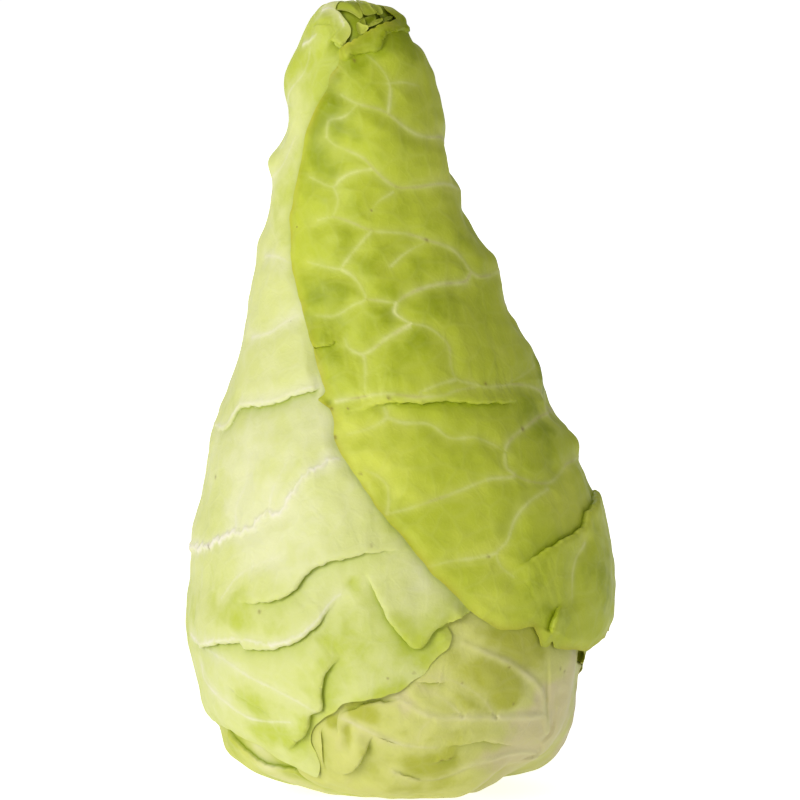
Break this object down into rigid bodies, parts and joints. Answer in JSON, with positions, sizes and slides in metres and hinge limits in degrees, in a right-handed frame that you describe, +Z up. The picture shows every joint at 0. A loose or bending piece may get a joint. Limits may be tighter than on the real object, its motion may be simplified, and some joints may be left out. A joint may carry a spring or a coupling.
{
  "type": "pointed cabbage",
  "caption": "Pointed cabbage: a tall cone of wrapped leaves with a crumpled tip, standing on its cut stem.",
  "frame": {"origin": "on the surface it stands on, under the middle of the head", "axes": "+Z up the head to its tip; -Y is the side where the green outer leaf crosses over the pale one"},
  "size_m": [0.1295, 0.1236, 0.24],
  "materials": {
    "green_leaf": "satin",
    "pale_leaf": "satin",
    "heart_leaf": "satin",
    "tip_leaf": "satin",
    "stem": "matte"
  },
  "bodies": {
    "root": {"hood_leaf": "green_leaf", "back_leaf": "green_leaf", "side_leaf": "pale_leaf", "base_leaf": "pale_leaf", "low_leaf": "pale_leaf", "inner_leaf_1": "heart_leaf", "inner_leaf_2": "heart_leaf", "inner_leaf_3": "heart_leaf", "inner_leaf_4": "heart_leaf", "inner_leaf_5": "heart_leaf", "inner_leaf_6": "heart_leaf", "inner_leaf_7": "heart_leaf", "inner_leaf_8": "heart_leaf", "inner_leaf_9": "heart_leaf", "heart_bud": "heart_leaf", "cut_stem": "stem", "tip_leaves": "tip_leaf"}
  },
  "joints": []
}
